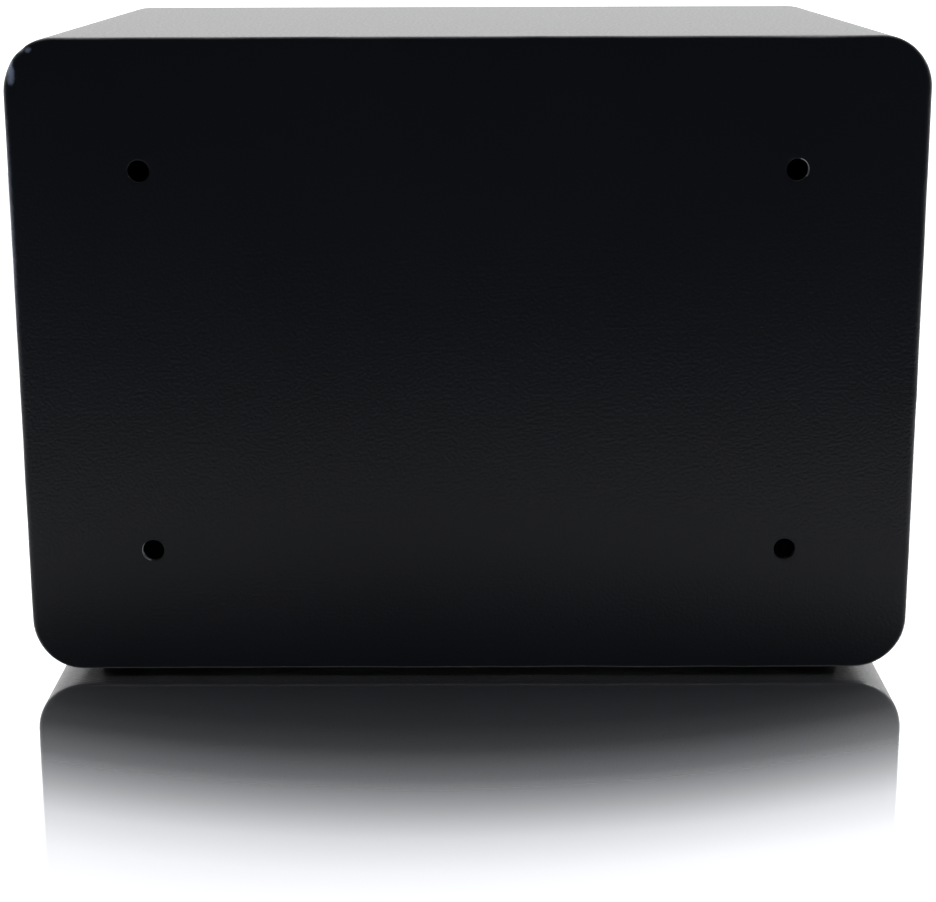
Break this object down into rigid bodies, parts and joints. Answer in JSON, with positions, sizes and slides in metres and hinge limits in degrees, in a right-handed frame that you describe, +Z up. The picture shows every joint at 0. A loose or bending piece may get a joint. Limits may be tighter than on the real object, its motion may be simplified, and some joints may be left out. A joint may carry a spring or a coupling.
{
  "type": "wall safe",
  "caption": "Small steel box safe with anchor holes in its back for wall fixing, and a hinged door with a keypad, a turning knob, an override key lock and live locking bolts.",
  "frame": {"origin": "centre of the rear panel's outer face, the face that goes against the wall, on the cabinet's centre line", "axes": "+Y out of the rear panel towards the wall (the door faces -Y), +X to the right as seen from the front, +Z up"},
  "size_m": [0.35, 0.2799, 0.2533],
  "materials": {
    "powder_coat": "satin near-black powder coat with a fine orange-peel texture",
    "rubber": "matt black rubber",
    "nylon": "natural white nylon",
    "carpet": "dark grey needle-punch carpet",
    "zinc_steel": "zinc-plated steel",
    "chrome": "polished chrome plate",
    "black_plastic": "fine-textured moulded black plastic",
    "brass": "machined brass",
    "bare_steel": "bare pressed steel",
    "key_plastic": "dark grey moulded keys with white printed figures",
    "red_lens": "clear red plastic lens",
    "yellow_lens": "clear yellow plastic lens",
    "green_lens": "clear green plastic lens",
    "circuit_board": "green solder mask",
    "red_plastic": "glossy red plastic"
  },
  "bodies": {
    "cabinet": {"body_wrap": "powder_coat", "rear_panel": "powder_coat", "door_frame": "powder_coat", "foot_1": "rubber", "foot_2": "rubber", "foot_3": "rubber", "foot_4": "rubber", "door_stop_upper": "powder_coat", "door_stop_lower": "powder_coat", "hinge_bush_upper": "nylon", "hinge_bush_lower": "nylon", "shelf_rail_right": "powder_coat", "shelf_rail_left": "powder_coat", "floor_mat": "carpet"},
    "shelf": {"shelf": "powder_coat"},
    "door": {"door_plate": "powder_coat", "hinge_upper": "zinc_steel", "hinge_lower": "zinc_steel", "door_cover": "powder_coat", "cover_screw_1": "zinc_steel", "cover_screw_2": "zinc_steel", "cover_screw_3": "zinc_steel", "cover_screw_4": "zinc_steel", "bolt_guide": "zinc_steel", "knob_collar": "chrome", "lock_cylinder": "chrome", "solenoid": "bare_steel", "plunger_spring": "bare_steel", "keypad_housing": "black_plastic", "lamp_red": "red_lens", "lamp_yellow": "yellow_lens", "lamp_green": "green_lens", "circuit_board": "circuit_board", "solenoid_lead": "black_plastic", "battery_lead": "red_plastic", "battery_box": "black_plastic", "reset_switch": "black_plastic"},
    "knob": {"knob": "black_plastic", "knob_spindle": "zinc_steel"},
    "bolt_bar": {"bolt_bar": "zinc_steel", "locking_bolt_upper": "chrome", "locking_bolt_lower": "chrome"},
    "plunger": {"solenoid_plunger": "chrome"},
    "lock_plug": {"lock_plug": "brass"},
    "key_cover": {"key_cover": "chrome"},
    "battery_lid": {"battery_lid": "black_plastic"},
    "reset_button": {"reset_button": "red_plastic"},
    "key_1": {"key_1": "key_plastic"},
    "key_2": {"key_2": "key_plastic"},
    "key_3": {"key_3": "key_plastic"},
    "key_4": {"key_4": "key_plastic"},
    "key_5": {"key_5": "key_plastic"},
    "key_6": {"key_6": "key_plastic"},
    "key_7": {"key_7": "key_plastic"},
    "key_8": {"key_8": "key_plastic"},
    "key_9": {"key_9": "key_plastic"},
    "key_A": {"key_A": "key_plastic"},
    "key_0": {"key_0": "key_plastic"},
    "key_B": {"key_B": "key_plastic"}
  },
  "joints": [
    {"name": "door_hinge", "type": "hinge", "parent": "cabinet", "child": "door", "pos_m": [-0.1325, -0.2425, 0], "axis": [0, 0, -1], "range_deg": [0, 110]},
    {"name": "knob_turn", "type": "hinge", "parent": "door", "child": "knob", "pos_m": [0.06, -0.25, 0.038], "axis": [0, -1, 0], "range_deg": [0, 90]},
    {"name": "bolt_slide", "type": "slide", "parent": "door", "child": "bolt_bar", "axis": [1, 0, 0], "range_m": [0, 0.014]},
    {"name": "plunger_rise", "type": "slide", "parent": "door", "child": "plunger", "axis": [0, 0, 1], "range_m": [0, 0.009], "deforming": ["plunger_spring"]},
    {"name": "lock_plug_turn", "type": "hinge", "parent": "door", "child": "lock_plug", "pos_m": [0.06, -0.25, -0.022], "axis": [0, -1, 0], "range_deg": [-90, 0]},
    {"name": "key_cover_swing", "type": "hinge", "parent": "door", "child": "key_cover", "pos_m": [0.06, -0.2543, -0.005], "axis": [0, 1, 0], "range_deg": [0, 95]},
    {"name": "shelf_lift", "type": "slide", "parent": "cabinet", "child": "shelf", "axis": [0, 0, 1], "range_m": [0, 0.03]},
    {"name": "battery_lid_slide", "type": "slide", "parent": "door", "child": "battery_lid", "axis": [1, 0, 0], "range_m": [0, 0.064]},
    {"name": "reset_press", "type": "slide", "parent": "door", "child": "reset_button", "axis": [0, -1, 0], "range_m": [0, 0.001], "stiffness_N_per_m": 400, "springref_m": -0.001},
    {"name": "key_1_press", "type": "slide", "parent": "door", "child": "key_1", "axis": [0, 1, 0], "range_m": [0, 0.0012], "stiffness_N_per_m": 400, "springref_m": -0.001},
    {"name": "key_2_press", "type": "slide", "parent": "door", "child": "key_2", "axis": [0, 1, 0], "range_m": [0, 0.0012], "stiffness_N_per_m": 400, "springref_m": -0.001},
    {"name": "key_3_press", "type": "slide", "parent": "door", "child": "key_3", "axis": [0, 1, 0], "range_m": [0, 0.0012], "stiffness_N_per_m": 400, "springref_m": -0.001},
    {"name": "key_4_press", "type": "slide", "parent": "door", "child": "key_4", "axis": [0, 1, 0], "range_m": [0, 0.0012], "stiffness_N_per_m": 400, "springref_m": -0.001},
    {"name": "key_5_press", "type": "slide", "parent": "door", "child": "key_5", "axis": [0, 1, 0], "range_m": [0, 0.0012], "stiffness_N_per_m": 400, "springref_m": -0.001},
    {"name": "key_6_press", "type": "slide", "parent": "door", "child": "key_6", "axis": [0, 1, 0], "range_m": [0, 0.0012], "stiffness_N_per_m": 400, "springref_m": -0.001},
    {"name": "key_7_press", "type": "slide", "parent": "door", "child": "key_7", "axis": [0, 1, 0], "range_m": [0, 0.0012], "stiffness_N_per_m": 400, "springref_m": -0.001},
    {"name": "key_8_press", "type": "slide", "parent": "door", "child": "key_8", "axis": [0, 1, 0], "range_m": [0, 0.0012], "stiffness_N_per_m": 400, "springref_m": -0.001},
    {"name": "key_9_press", "type": "slide", "parent": "door", "child": "key_9", "axis": [0, 1, 0], "range_m": [0, 0.0012], "stiffness_N_per_m": 400, "springref_m": -0.001},
    {"name": "key_A_press", "type": "slide", "parent": "door", "child": "key_A", "axis": [0, 1, 0], "range_m": [0, 0.0012], "stiffness_N_per_m": 400, "springref_m": -0.001},
    {"name": "key_0_press", "type": "slide", "parent": "door", "child": "key_0", "axis": [0, 1, 0], "range_m": [0, 0.0012], "stiffness_N_per_m": 400, "springref_m": -0.001},
    {"name": "key_B_press", "type": "slide", "parent": "door", "child": "key_B", "axis": [0, 1, 0], "range_m": [0, 0.0012], "stiffness_N_per_m": 400, "springref_m": -0.001}
  ],
  "couplings": [
    {"joint": "knob_turn", "follows": "bolt_slide", "rad_per_m": 112.2},
    {"joint": "plunger_rise", "follows": "bolt_slide", "ratio": 0.64286}
  ]
}
